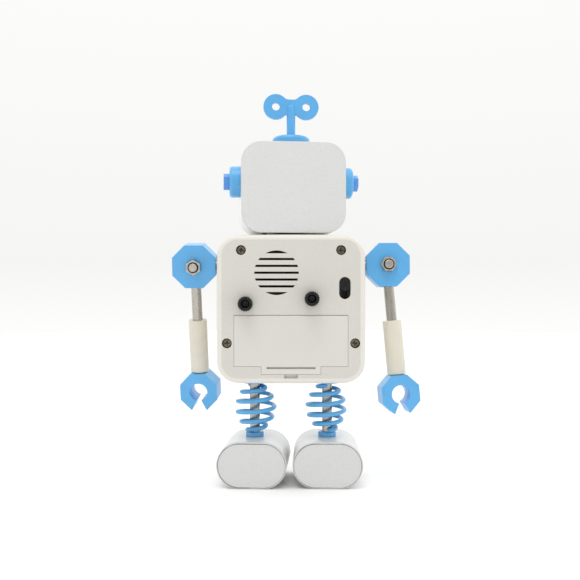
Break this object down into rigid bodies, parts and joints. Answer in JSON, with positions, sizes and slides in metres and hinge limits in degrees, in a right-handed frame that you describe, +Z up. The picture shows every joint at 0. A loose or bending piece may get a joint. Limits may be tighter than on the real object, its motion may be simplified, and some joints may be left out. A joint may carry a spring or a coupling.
{
  "type": "toy robot",
  "caption": "Standing toy robot with a clock in its chest, winding key on its head, clip hands on jointed arms, barrel-spring legs, set knobs and battery door behind.",
  "frame": {"origin": "on the floor, under the middle of the whole robot's bounding box; the middle of the body and legs stands at x = +2.85 mm, y = -3.2 mm", "axes": "+Z up; the robot faces -Y, its back with the knobs is +Y, and its left arm is +X"},
  "size_m": [0.1436, 0.054, 0.2265],
  "materials": {
    "ivory": "satin",
    "steel": "satin",
    "sky_blue": "satin",
    "bolt_blue": "satin",
    "white": "gloss",
    "plate_white": "matte",
    "black": "satin",
    "brass": "satin",
    "red": "satin",
    "board": "satin",
    "cell": "satin",
    "tray": "satin",
    "clear": "gloss"
  },
  "bodies": {
    "torso": {"body_shell": "ivory", "rear_cover": "ivory", "cover_screws": "steel", "battery_tray": "tray", "battery_cells": "cell", "battery_contacts": "steel", "speaker": "black", "circuit_board": "board", "switch_body": "black", "movement_frame": "brass", "dial": "plate_white", "bezel": "sky_blue", "lens": "clear", "neck_pin": "steel", "neck_washer": "black", "shoulder_pins": "steel", "leg_rods": "steel", "lower_collars": "sky_blue", "upper_collars": "sky_blue", "left_leg_spring": "sky_blue", "right_leg_spring": "sky_blue"},
    "door": {"battery_door": "ivory"},
    "switch": {"switch_slider": "black"},
    "time_setting": {"time_knob": "black", "time_shaft": "steel"},
    "alarm_setting": {"alarm_knob": "black", "alarm_shaft": "steel"},
    "motion_work": {"motion_wheel": "brass"},
    "minute": {"minute_wheel": "brass", "minute_hand": "black"},
    "hour": {"hour_wheel": "brass", "hour_hand": "black"},
    "alarm": {"alarm_wheel": "brass", "alarm_hand": "red"},
    "second": {"second_hand": "red"},
    "head": {"head_shell": "white", "head_back_plate": "plate_white", "face_plate": "plate_white", "eyes": "black", "mouth": "sky_blue", "ear_discs": "sky_blue", "ear_bolts": "bolt_blue", "key_flange": "sky_blue"},
    "key": {"winding_key": "sky_blue"},
    "left_shoulder": {"left_shoulder_block": "sky_blue", "left_shoulder_bolt": "steel", "left_shoulder_nut": "steel"},
    "left_arm": {"left_arm_rod": "steel", "left_sleeve": "ivory"},
    "left_hand": {"left_hand": "sky_blue"},
    "left_foot": {"left_foot_shell": "white", "left_foot_plates": "plate_white"},
    "right_shoulder": {"right_shoulder_block": "sky_blue", "right_shoulder_bolt": "steel", "right_shoulder_nut": "steel"},
    "right_arm": {"right_arm_rod": "steel", "right_sleeve": "ivory"},
    "right_hand": {"right_hand": "sky_blue"},
    "right_foot": {"right_foot_shell": "white", "right_foot_plates": "plate_white"}
  },
  "joints": [
    {"name": "head_turn", "type": "hinge", "parent": "torso", "child": "head", "pos_m": [0.00285, -0.0032, 0.144], "axis": [0, 0, 1], "range_deg": [-90, 90]},
    {"name": "key_turn", "type": "hinge", "parent": "head", "child": "key", "pos_m": [0.00285, -0.0032, 0.2], "axis": [0, 0, 1], "continuous": true},
    {"name": "left_shoulder_swing", "type": "hinge", "parent": "torso", "child": "left_shoulder", "pos_m": [0.05085, -0.0032, 0.1262], "axis": [1, 0, 0], "continuous": true},
    {"name": "left_arm_raise", "type": "hinge", "parent": "left_shoulder", "child": "left_arm", "pos_m": [0.0592, -0.0032, 0.1262], "axis": [0, -0.9877, 0.1564], "range_deg": [0, 90]},
    {"name": "left_wrist_turn", "type": "hinge", "parent": "left_arm", "child": "left_hand", "pos_m": [0.05747, -0.01352, 0.06103], "axis": [0.0262, 0.1564, 0.9873], "continuous": true},
    {"name": "left_foot_turn", "type": "hinge", "parent": "torso", "child": "left_foot", "pos_m": [0.02405, -0.0032, 0.026], "axis": [0, 0, 1], "range_deg": [0, 6]},
    {"name": "right_shoulder_swing", "type": "hinge", "parent": "torso", "child": "right_shoulder", "pos_m": [-0.04515, -0.0032, 0.1262], "axis": [1, 0, 0], "continuous": true},
    {"name": "right_arm_raise", "type": "hinge", "parent": "right_shoulder", "child": "right_arm", "pos_m": [-0.0535, -0.0032, 0.1262], "axis": [0, 0.999, 0.0436], "range_deg": [-6, 85]},
    {"name": "right_wrist_turn", "type": "hinge", "parent": "right_arm", "child": "right_hand", "pos_m": [-0.05914, -0.00033, 0.0605], "axis": [0.0854, -0.0435, 0.9954], "continuous": true},
    {"name": "right_foot_turn", "type": "hinge", "parent": "torso", "child": "right_foot", "pos_m": [-0.01835, -0.0032, 0.026], "axis": [0, 0, 1], "range_deg": [-1.5, 4.5]},
    {"name": "battery_door_open", "type": "hinge", "parent": "torso", "child": "door", "pos_m": [0.00285, 0.01805, 0.0968], "axis": [1, 0, 0], "range_deg": [0, 80]},
    {"name": "switch_slide", "type": "slide", "parent": "torso", "child": "switch", "axis": [0, 0, -1], "range_m": [0, 0.0044]},
    {"name": "time_knob_turn", "type": "hinge", "parent": "torso", "child": "time_setting", "pos_m": [0.02817, 0.0228, 0.104], "axis": [0, 1, 0], "continuous": true},
    {"name": "motion_wheel_turn", "type": "hinge", "parent": "torso", "child": "motion_work", "pos_m": [0.01477, -0.0102, 0.10241], "axis": [0, 1, 0], "continuous": true},
    {"name": "minute_hand_turn", "type": "hinge", "parent": "torso", "child": "minute", "pos_m": [0.00285, -0.0102, 0.101], "axis": [0, 1, 0], "continuous": true},
    {"name": "hour_hand_turn", "type": "hinge", "parent": "torso", "child": "hour", "pos_m": [0.00285, -0.0122, 0.101], "axis": [0, 1, 0], "continuous": true},
    {"name": "alarm_knob_turn", "type": "hinge", "parent": "torso", "child": "alarm_setting", "pos_m": [-0.00878, 0.0228, 0.10681], "axis": [0, 1, 0], "continuous": true},
    {"name": "alarm_hand_turn", "type": "hinge", "parent": "torso", "child": "alarm", "pos_m": [0.00285, -0.0147, 0.101], "axis": [0, 1, 0], "continuous": true},
    {"name": "second_hand_turn", "type": "hinge", "parent": "torso", "child": "second", "pos_m": [0.00285, -0.0082, 0.101], "axis": [0, 1, 0], "continuous": true}
  ],
  "couplings": [
    {"joint": "motion_wheel_turn", "follows": "time_knob_turn", "ratio": -0.5},
    {"joint": "minute_hand_turn", "follows": "time_knob_turn", "ratio": 1.5},
    {"joint": "hour_hand_turn", "follows": "time_knob_turn", "ratio": 0.125},
    {"joint": "alarm_hand_turn", "follows": "alarm_knob_turn", "ratio": -0.53846}
  ]
}
